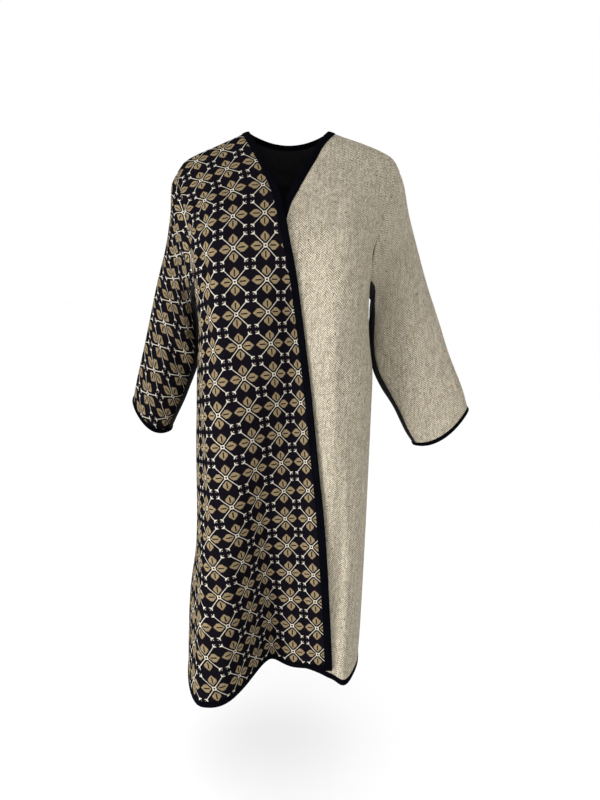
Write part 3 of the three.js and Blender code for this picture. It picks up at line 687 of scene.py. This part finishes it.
# Section of a folded tape: distance in from the edge and height off the cloth's middle
def tapeSection(width):
    crown = binding["crown"]
    outer = [(width, 1.1), (width - 0.25, 1.7), (width - 1.2, 1.95), (width - 2.2, 1.6), (width - 3.2, 1.95),
             (width * 0.55, crown), (width * 0.28, crown), (1.4, crown - 0.1), (0.4, 1.75), (-0.15, 0.9)]
    inner = [(away, -high) for away, high in reversed(outer)]
    return outer + [(-0.3, 0.0)] + inner


# A tape's mesh and its UV, whose x follows the section and y the tape's length
def tapeMesh(name, grid, section, lengthways, outward, alongRows=False, closed=False):
    run, down = runOf([Vector(place) for place in section]), runOf(lengthways)

    def cloth(i, j):
        return (run[j] * mm, -down[i] * mm) if alongRows else (run[i] * mm, -down[j] * mm)

    return gridMesh(name, grid, cloth, outward, closed)


def frontTape(name, piece):
    section = tapeSection(binding["frontWidth"])
    total, top, stations = piece["profile"][-1]["length"], binding["neckGap"], binding["frontStations"]
    lengths = [top + (total - top) * j / stations for j in range(stations + 1)]
    slants = [slantOf(piece, min(max(length, binding["firstSlant"]), total)) for length in lengths]

    def wanted(j, rowTotal):
        return [rowTotal - away * slants[j] for away, high in section]

    offsets = [[high for away, high in section]] * len(lengths)
    grid = bodyGrid(piece, lengths, wanted, offsets, True)
    return tapeMesh(name, grid, section, [row[-1] for row in grid], piece["hand"] == -1)


# Hem tape and back neck tape: the section runs along the cloth's length
def crossTape(name, piece, width, stations, atHem, ends):
    section = tapeSection(width)
    total = piece["profile"][-1]["length"]

    def wanted(j, rowTotal):
        start, stop = ends(rowTotal)
        return [start + (stop - start) * i / stations for i in range(stations + 1)]

    lengths = [total - away if atHem else away for away, high in section]
    offsets = [[high] * (stations + 1) for away, high in section]
    grid = bodyGrid(piece, lengths, wanted, offsets, True)
    return tapeMesh(name, grid, section, grid[0], (piece["hand"] == 1) == atHem, True)


def hemTape(name, piece, stations, stopGap):
    return crossTape(name, piece, binding["hemWidth"], stations, True,
                     lambda total: (binding["seamGap"], total - stopGap))


def neckTape(name, piece, stations):
    reach = binding["neckReach"]
    return crossTape(name, piece, binding["frontWidth"], stations, False,
                     lambda total: (total / 2 - reach, total / 2 + reach))


def cuffTape(name, rows, folds):
    side = 1 if rows[0]["outX"] > 0 else -1
    section = tapeSection(binding["cuffWidth"])
    stations = binding["cuffStations"]
    edges, rings = [], []
    for k in range(stations + 1):
        at = 360 * k / stations
        edge = sleevePoint(rows, 1, at, folds)
        outwards = (edge - sleevePoint(rows, binding["rowIn"], at, folds)).normalized()
        around = sleevePoint(rows, 1, at + 1, folds) - sleevePoint(rows, 1, at - 1, folds)
        normal = around.cross(outwards).normalized() * side
        edges.append(edge)
        rings.append([edge - outwards * away + normal * high for away, high in section])
    return tapeMesh(name, rings, section, edges, side == 1, closed=True)


# How each tape is made, and from what
tapePlans = {
    "binding_front_right": (frontTape, right),
    "binding_front_left": (frontTape, left),
    "binding_hem_right": (hemTape, right, 110, binding["cornerGap"]),
    "binding_hem_left": (hemTape, left, 100, binding["cornerGap"]),
    "binding_hem_back": (hemTape, rear, 150, binding["seamGap"]),
    "binding_neck_back": (neckTape, rear, 60),
    "binding_cuff_right": (cuffTape, rightSleeve, rightSleeveFolds),
    "binding_cuff_left": (cuffTape, leftSleeve, leftSleeveFolds),
}
tapes = {node: make(node + "_tape", *given) for node, (make, *given) in tapePlans.items()}
print("bindings made")

clothPieces = {"front_right": frontRight, "front_left": frontLeft, "back": back, **halves}
for piece in clothPieces.values():
    addWall(piece, coat["wall"])
for piece in tapes.values():
    addWall(piece, binding["thickness"], -1.0)


# A number or a colour goes on a socket, and another node's output is linked to it
def feed(tree, socket, value):
    if isinstance(value, (int, float)):
        socket.default_value = value
    elif isinstance(value, tuple):
        socket.default_value = (*value, 1)
    else:
        tree.links.new(value, socket)


# Gives a function that adds one Math node and returns its output, and three for the usual sums
def maths(tree):
    def do(operation, *values):
        node = tree.nodes.new("ShaderNodeMath")
        node.operation = operation
        for socket, value in zip(node.inputs, values):
            feed(tree, socket, value)
        return node.outputs[0]
    return [do] + [partial(do, operation) for operation in ("ADD", "SUBTRACT", "MULTIPLY")]


# A node group that takes a place on the cloth, and some numbers, and gives numbers out
def newGroup(name, outputs, **inputs):
    tree = bpy.data.node_groups.new(name, "ShaderNodeTree")
    tree.interface.new_socket("Place", in_out="INPUT", socket_type="NodeSocketVector")
    for title, value in inputs.items():
        socket = tree.interface.new_socket(title, in_out="INPUT", socket_type="NodeSocketFloat")
        socket.default_value = value
    for title in outputs.split():
        tree.interface.new_socket(title, in_out="OUTPUT", socket_type="NodeSocketFloat")
    return tree, tree.nodes.new("NodeGroupInput").outputs, tree.nodes.new("NodeGroupOutput").inputs


def splitVector(tree, vector):
    node = tree.nodes.new("ShaderNodeSeparateXYZ")
    tree.links.new(vector, node.inputs[0])
    return node.outputs[0], node.outputs[1]


def joinVector(tree, x, y):
    node = tree.nodes.new("ShaderNodeCombineXYZ")
    for socket, value in zip(node.inputs, (x, y)):
        feed(tree, socket, value)
    return node.outputs[0]


def noise(tree, vector, scale, detail=2.0):
    node = tree.nodes.new("ShaderNodeTexNoise")
    node.noise_dimensions = "2D"
    node.inputs["Scale"].default_value = scale
    node.inputs["Detail"].default_value = detail
    tree.links.new(vector, node.inputs["Vector"])
    return node.outputs["Fac"]


handFeed = {"otherX": 431.0, "otherY": 173.0, "trembleScale": 0.55, "tremble": 0.9}


# Millimetres from a UV in metres, a little out of true as hand-fed cloth is
def handFed(tree, vector, sway, swayScale):
    do, plus, minus, times = maths(tree)
    x, y = splitVector(tree, vector)
    x, y = times(x, 1 / mm), times(y, 1 / mm)
    flat = joinVector(tree, x, y)
    moved = joinVector(tree, plus(x, handFeed["otherX"]), plus(y, handFeed["otherY"]))
    out = []
    for value, place in ((x, flat), (y, moved)):
        drift = times(minus(noise(tree, place, swayScale), 0.5), sway * 2)
        shake = minus(noise(tree, place, handFeed["trembleScale"], 1.0), 0.5)
        out.append(plus(value, plus(drift, times(shake, handFeed["tremble"]))))
    return out[0], out[1], flat


def giveOut(tree, result, **values):
    for title, value in values.items():
        tree.links.new(value, result[title])


# Repeat of four-petal flowers with crossed stems, charted in millimetres from each flower's middle
def flowerGroup():
    tree, given, result = newGroup("four petal repeat", "Petal Stem Shade Height")
    do, plus, minus, times = maths(tree)
    x, y, flat = handFed(tree, given["Place"], 1.1, 0.02)
    f = flower

    def fold(value, cell):
        return do("ABSOLUTE", minus(do("FLOORED_MODULO", plus(value, cell / 2), cell), cell / 2))

    a, b = fold(x, f["cellWide"]), fold(y, f["cellTall"])

    def inside(distance, soft):
        return plus(times(distance, -1.0 / soft), 0.5)

    def clamped(value):
        return do("MINIMUM", do("MAXIMUM", value, 0.0), 1.0)

    def petal(along, across, start, length):
        row = times(plus(do("FLOOR", do("DIVIDE", across, f["stitchRow"])), 0.5), f["stitchRow"])
        run = minus(along, start)
        inner = plus(times(run, f["startSlope"]), f["startHalf"])
        outer = times(minus(length, run), f["tipSlope"])
        wide = do("MINIMUM", do("MINIMUM", inner, outer), f["petalHalf"])
        shape = clamped(inside(plus(minus(row, wide), f["petalIn"]), f["petalSoft"]))
        fromMiddle = do("ABSOLUTE", minus(run, (f["slitFrom"] + f["slitTo"]) / 2))
        ahead = minus(fromMiddle, (f["slitTo"] - f["slitFrom"]) / 2)
        slit = clamped(inside(do("MAXIMUM", ahead, minus(across, f["slitHalf"])), f["soft"]))
        shape = times(shape, minus(1.0, slit))
        wave = do("COSINE", times(across, 2 * math.pi / f["stitchRow"]))
        return shape, minus(1.0, times(plus(wave, 1.0), 0.5))

    flatPetal, flatRib = petal(a, b, f["petalStartX"], f["petalLengthX"])
    tallPetal, tallRib = petal(b, a, f["petalStartY"], f["petalLengthY"])
    petals = do("MAXIMUM", flatPetal, tallPetal)
    ribs = plus(times(flatPetal, flatRib), times(tallPetal, tallRib))

    reach = math.hypot(f["stemX"], f["stemY"])
    cx, cy = f["stemX"] / reach, f["stemY"] / reach
    off = do("ABSOLUTE", minus(times(a, cy), times(b, cx)))
    along = plus(times(a, cx), times(b, cy))
    ends = do("MAXIMUM", minus(f["stemFrom"], along), minus(along, f["stemTo"]))
    distance = do("MAXIMUM", minus(off, f["stemHalf"]), ends)
    for square in tipSquares:
        box = do("MAXIMUM", minus(do("ABSOLUTE", minus(a, square["x"])), square["wide"]),
                 minus(do("ABSOLUTE", minus(b, square["y"])), square["tall"]))
        distance = do("MINIMUM", distance, box)
    further = do("MAXIMUM", a, b)
    ring = do("MAXIMUM", minus(further, f["ringOut"]), minus(f["ringIn"], further))
    distance = do("MINIMUM", distance, ring)
    stem = clamped(inside(distance, f["soft"]))
    wave = do("SINE", times(along, 2 * math.pi / f["twist"]))
    twist = times(plus(wave, 1.0), 0.5)

    patches = noise(tree, flat, 0.35, 3.0)
    fibre = noise(tree, flat, 1.7, 1.0)
    shade = plus(times(patches, 0.6), times(fibre, 0.4))
    # Petals are darker in the grooves between their stitch rows, where the bump lies low: painted shade
    shade = minus(shade, times(minus(1.0, ribs), times(petals, 0.6)))
    shade = minus(shade, times(times(stem, twist), 0.25))
    height = plus(times(petals, plus(0.45, times(ribs, 0.4))), times(stem, plus(0.5, times(twist, 0.4))))
    twill = do("SINE", times(plus(x, y), 2 * math.pi / f["twill"]))
    height = plus(height, times(twill, f["twillHeight"]))
    giveOut(tree, result, Petal=petals, Stem=stem, Shade=shade, Height=height)
    return tree


tweed = {
    "column": 8.2, "stroke": 4.7, "slope": 0.95,
    "waveShare": 0.38, "yarnShare": 0.30, "lumpShare": 0.50, "fibreShare": 0.35, "streakShare": 0.35,
    "fleckSpacing": 17.0, "fleckStretch": 1.35, "fleckLeast": 0.035, "fleckMore": 0.06,
    "fleckEdge": 40.0, "fleckBare": 0.42,
}


# Herringbone of light and dark yarn, uneven as a hand-woven tweed, with coloured flecks
def tweedGroup():
    tree, given, result = newGroup("herringbone tweed", "Light Fleck Kind Height")
    do, plus, minus, times = maths(tree)
    x, y, flat = handFed(tree, given["Place"], 1.8, 0.015)
    column = do("FLOOR", do("DIVIDE", x, tweed["column"]))
    turn = minus(times(do("FLOORED_MODULO", column, 2.0), 2.0), 1.0)
    within = minus(x, times(column, tweed["column"]))
    run = plus(y, times(times(turn, within), tweed["slope"]))
    wave = do("SINE", times(run, 2 * math.pi / tweed["stroke"]))
    yarn = tree.nodes.new("ShaderNodeTexWhiteNoise")
    yarn.noise_dimensions = "2D"
    strand = plus(column, do("FLOOR", do("DIVIDE", x, tweed["column"] / 3)))
    stroke = do("FLOOR", do("DIVIDE", run, tweed["stroke"]))
    tree.links.new(joinVector(tree, stroke, strand), yarn.inputs["Vector"])
    lumps = noise(tree, flat, 0.42, 2.0)
    fibre = noise(tree, flat, 1.5, 2.0)
    streak = noise(tree, joinVector(tree, times(x, 0.22), times(y, 0.012)), 1.0, 3.0)
    light = plus(0.5, times(wave, tweed["waveShare"]))
    for value, share in ((yarn.outputs["Value"], "yarnShare"), (lumps, "lumpShare"), (fibre, "fibreShare"),
                         (streak, "streakShare")):
        light = plus(light, times(minus(value, 0.5), tweed[share]))

    spots = tree.nodes.new("ShaderNodeTexVoronoi")
    spots.voronoi_dimensions = "2D"
    spots.inputs["Scale"].default_value = 1.0
    spacing = tweed["fleckSpacing"]
    cells = joinVector(tree, do("DIVIDE", x, spacing * tweed["fleckStretch"]), do("DIVIDE", y, spacing))
    tree.links.new(cells, spots.inputs["Vector"])
    parts = tree.nodes.new("ShaderNodeSeparateColor")
    tree.links.new(spots.outputs["Color"], parts.inputs[0])
    size = plus(tweed["fleckLeast"], times(parts.outputs[0], tweed["fleckMore"]))
    near = times(minus(size, spots.outputs["Distance"]), tweed["fleckEdge"])
    near = do("MINIMUM", do("MAXIMUM", near, 0.0), 1.0)
    shown = times(near, do("GREATER_THAN", parts.outputs[1], tweed["fleckBare"]))
    height = plus(times(wave, 0.32), plus(times(lumps, 0.7), times(fibre, 0.35)))
    giveOut(tree, result, Light=light, Fleck=shown, Kind=parts.outputs[2], Height=height)
    return tree


# Fine plain weave; ribs run across a tape when Rib is 1
def weaveGroup():
    tree, given, result = newGroup("fine weave", "Shade Height", Spacing=1.2, Rib=0.0)
    do, plus, minus, times = maths(tree)
    x, y, flat = handFed(tree, given["Place"], 0.8, 0.03)
    turn = do("DIVIDE", 2 * math.pi, given["Spacing"])
    warp = do("SINE", times(x, turn))
    weft = do("SINE", times(y, turn))
    cloth = times(times(warp, weft), minus(1.0, given["Rib"]))
    ribbed = times(weft, given["Rib"])
    grain = noise(tree, flat, 0.9, 2.0)
    cloudy = noise(tree, flat, 0.03, 2.0)
    height = plus(plus(cloth, ribbed), times(grain, 0.8))
    # Shade follows the height, so the cloth is darker where its threads and ribs lie low: painted shade in the
    # weave's hollows, beside the cloudy part that is the cloth's own uneven tone
    shade = plus(times(height, 0.25), times(cloudy, 0.6))
    giveOut(tree, result, Shade=shade, Height=height)
    return tree


groups = {"flower": flowerGroup(), "tweed": tweedGroup(), "weave": weaveGroup()}
print("pattern groups made")


def newMaterial(name, roughness, specular, sheen, sheenTint):
    material = bpy.data.materials.new(name)
    material.use_nodes = True
    tree = material.node_tree
    shader = tree.nodes["Principled BSDF"]
    values = {"Roughness": roughness, "Specular IOR Level": specular, "Sheen Weight": sheen,
              "Sheen Roughness": 0.6, "Sheen Tint": sheenTint}
    for title, value in values.items():
        feed(tree, shader.inputs[title], value)
    return material, tree, shader


# A pattern group laid on the cloth's own UV map, turned by some degrees
def placeGroup(tree, group, turn=0.0):
    uv = tree.nodes.new("ShaderNodeUVMap")
    uv.uv_map = "cloth"
    mapping = tree.nodes.new("ShaderNodeMapping")
    mapping.inputs["Rotation"].default_value = (0, 0, math.radians(turn))
    tree.links.new(uv.outputs[0], mapping.inputs[0])
    node = tree.nodes.new("ShaderNodeGroup")
    node.node_tree = group
    tree.links.new(mapping.outputs[0], node.inputs["Place"])
    return node


def mixColour(tree, factor, one, two):
    node = tree.nodes.new("ShaderNodeMix")
    node.data_type = "RGBA"
    for index, value in ((0, factor), (6, one), (7, two)):
        feed(tree, node.inputs[index], value)
    return node.outputs[2]


def colourRamp(tree, value, stops, interpolation="LINEAR"):
    node = tree.nodes.new("ShaderNodeValToRGB")
    node.color_ramp.interpolation = interpolation
    for position, colour in stops[1:-1]:
        node.color_ramp.elements.new(position)
    for element, (position, colour) in zip(node.color_ramp.elements, stops):
        element.position = position
        element.color = (*colour, 1)
    tree.links.new(value, node.inputs[0])
    return node.outputs[0]


# Colour and bump go on the shader
def dress(tree, shader, colour, height, distance, strength):
    bump = tree.nodes.new("ShaderNodeBump")
    bump.inputs["Strength"].default_value = strength
    bump.inputs["Distance"].default_value = distance
    tree.links.new(height, bump.inputs["Height"])
    tree.links.new(bump.outputs[0], shader.inputs["Normal"])
    tree.links.new(colour, shader.inputs["Base Color"])


embroidery = {
    "ground": (0.0026, 0.0022, 0.0036), "groundLight": (0.0065, 0.0055, 0.008),
    "petalDark": (0.145, 0.106, 0.058), "petalLight": (0.42, 0.33, 0.195),
    "stemDark": (0.38, 0.35, 0.28), "stemLight": (0.74, 0.70, 0.61),
}


def embroideredMaterial():
    material, tree, shader = newMaterial("embroidered", 0.88, 0.0, 0.0, (0.8, 0.75, 0.7))
    pattern = placeGroup(tree, groups["flower"])
    # Shade sets each colour between its dark and light: random tone, and on the petals also painted shade in
    # the grooves between stitch rows
    shade = pattern.outputs["Shade"]
    ground = mixColour(tree, shade, embroidery["ground"], embroidery["groundLight"])
    petals = mixColour(tree, shade, embroidery["petalDark"], embroidery["petalLight"])
    stems = mixColour(tree, shade, embroidery["stemDark"], embroidery["stemLight"])
    colour = mixColour(tree, pattern.outputs["Petal"], ground, petals)
    colour = mixColour(tree, pattern.outputs["Stem"], colour, stems)
    dress(tree, shader, colour, pattern.outputs["Height"], 0.0007, 0.8)
    return material


tweedYarns = ((0.0, (0.082, 0.068, 0.046)), (0.35, (0.225, 0.195, 0.142)), (0.62, (0.385, 0.342, 0.26)),
              (1.0, (0.69, 0.63, 0.505)))
tweedFlecks = ((0.0, (0.022, 0.024, 0.055)), (0.3, (0.05, 0.042, 0.034)), (0.55, (0.42, 0.29, 0.09)),
               (0.72, (0.30, 0.07, 0.035)), (0.8, (0.10, 0.085, 0.06)))


def tweedMaterial(name, turn):
    material, tree, shader = newMaterial(name, 0.94, 0.06, 0.04, (0.9, 0.86, 0.78))
    pattern = placeGroup(tree, groups["tweed"], turn)
    yarns = colourRamp(tree, pattern.outputs["Light"], tweedYarns)
    flecks = colourRamp(tree, pattern.outputs["Kind"], tweedFlecks, "CONSTANT")
    colour = mixColour(tree, pattern.outputs["Fleck"], yarns, flecks)
    dress(tree, shader, colour, pattern.outputs["Height"], 0.0011, 0.85)
    return material


def weaveMaterial(name, dark, light, spacing, rib, roughness, specular, sheen):
    material, tree, shader = newMaterial(name, roughness, specular, sheen, (0.6, 0.6, 0.65))
    pattern = placeGroup(tree, groups["weave"])
    pattern.inputs["Spacing"].default_value = spacing
    pattern.inputs["Rib"].default_value = rib
    # Dark and light are the ends of that tone: partly painted shade in the weave's hollows, partly the cloth's
    # own cloudy tone
    colour = mixColour(tree, pattern.outputs["Shade"], dark, light)
    dress(tree, shader, colour, pattern.outputs["Height"], 0.0003, 0.6)
    return material


sleeveTurn = -19
materials = {
    "embroidered": embroideredMaterial(),
    "tweed front": tweedMaterial("tweed front", 0),
    "tweed sleeve": tweedMaterial("tweed sleeve", sleeveTurn),
    "black cloth": weaveMaterial("black cloth", (0.0050, 0.0047, 0.0056), (0.0170, 0.0158, 0.0180),
                                 1.3, 0.0, 0.85, 0.06, 0.05),
    "binding tape": weaveMaterial("binding tape", (0.0008, 0.0009, 0.0016), (0.0034, 0.0037, 0.0058),
                                  1.1, 1.0, 0.8, 0.006, 0.0),
}
print("materials made")

# What each piece is finished in, its slot, its flat cut in metres with the cut's area, and what holds it
finish = {
    "front_right": ("embroidered", "embroidered_cloth", (0.555, 1.222), 0.449, ["back", "front_left"]),
    "sleeve_right_front": ("embroidered", "embroidered_cloth", (0.265, 0.515), 0.070,
                           ["front_right", "sleeve_right_back"]),
    "front_left": ("tweed front", "tweed_cloth", (0.410, 1.220), 0.392, ["back"]),
    "sleeve_left_front": ("tweed sleeve", "tweed_cloth", (0.270, 0.550), 0.089,
                          ["front_left", "sleeve_left_back"]),
    "back": ("black cloth", "black_cloth", (0.685, 1.205), 0.644, ["front_right", "front_left"]),
    "sleeve_right_back": ("black cloth", "black_cloth", (0.355, 0.515), 0.074, ["back"]),
    "sleeve_left_back": ("black cloth", "black_cloth", (0.360, 0.550), 0.094, ["back"]),
}
tapeCuts = {
    "binding_front_right": ((0.034, 1.240), "front_right"),
    "binding_front_left": ((0.034, 1.250), "front_left"),
    "binding_hem_right": ((0.030, 0.531), "front_right"),
    "binding_hem_left": ((0.030, 0.396), "front_left"),
    "binding_hem_back": ((0.030, 0.682), "back"),
    "binding_neck_back": ((0.034, 0.176), "back"),
    "binding_cuff_right": ((0.021, 0.314), "sleeve_right_front"),
    "binding_cuff_left": ((0.021, 0.329), "sleeve_left_front"),
}
for node, piece in clothPieces.items():
    look, slot, flat, area, holders = finish[node]
    piece.data.materials.append(materials[look])
for node, piece in tapes.items():
    flat, holder = tapeCuts[node]
    piece.data.materials.append(materials["binding tape"])
for node, piece in {**clothPieces, **tapes}.items():
    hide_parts(node)
    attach(piece, "root")

stage = {
    "floorSize": 80, "floorHeight": -1.45, "floorRoughness": 0.9,
    "lens": 27, "sensor": 36, "cameraPlace": (0.0244, -1.360, -0.339), "cameraTurn": 80,
}
lamps = {
    "key": {"place": (-2.5, -1.9, -1.0), "aim": (0.1, 0, -0.9), "size": 1.2, "power": 118},
    "fill": {"place": (2.4, -2.4, 0.2), "aim": (0, 0, -0.6), "size": 2.2, "power": 5},
}

floorMesh = bpy.data.meshes.new("floor")
bm = bmesh.new()
bmesh.ops.create_grid(bm, x_segments=1, y_segments=1, size=stage["floorSize"])
bmesh.ops.translate(bm, verts=bm.verts[:], vec=(0, 0, stage["floorHeight"]))
bm.to_mesh(floorMesh)
bm.free()
floor = bpy.data.objects.new("floor", floorMesh)
bpy.context.collection.objects.link(floor)
paleFloor = bpy.data.materials.new("pale floor")
paleFloor.use_nodes = True
floorShader = paleFloor.node_tree.nodes["Principled BSDF"]
floorShader.inputs["Base Color"].default_value = (1, 1, 1, 1)
floorShader.inputs["Roughness"].default_value = stage["floorRoughness"]
floorMesh.materials.append(paleFloor)

studio = bpy.data.worlds.new("studio")
bpy.context.scene.world = studio
studio.use_nodes = True
studio.node_tree.nodes["Background"].inputs["Color"].default_value = (1, 1, 1, 1)
studio.node_tree.nodes["Background"].inputs["Strength"].default_value = 1.0
bpy.context.scene.view_settings.view_transform = "Standard"

for name, lamp in lamps.items():
    light = bpy.data.lights.new(name, "AREA")
    light.shape = "SQUARE"
    light.size = lamp["size"]
    light.energy = lamp["power"]
    holder = bpy.data.objects.new(name, light)
    holder.location = lamp["place"]
    holder.rotation_euler = (Vector(lamp["aim"]) - Vector(lamp["place"])).to_track_quat("-Z", "Y").to_euler()
    bpy.context.collection.objects.link(holder)

camera = bpy.data.objects.new("camera", bpy.data.cameras.new("camera"))
camera.data.sensor_fit = "VERTICAL"
camera.data.sensor_height = stage["sensor"]
camera.data.lens = stage["lens"]
camera.location = stage["cameraPlace"]
camera.rotation_euler = (math.radians(stage["cameraTurn"]), 0, 0)
bpy.context.collection.objects.link(camera)
bpy.context.scene.camera = camera
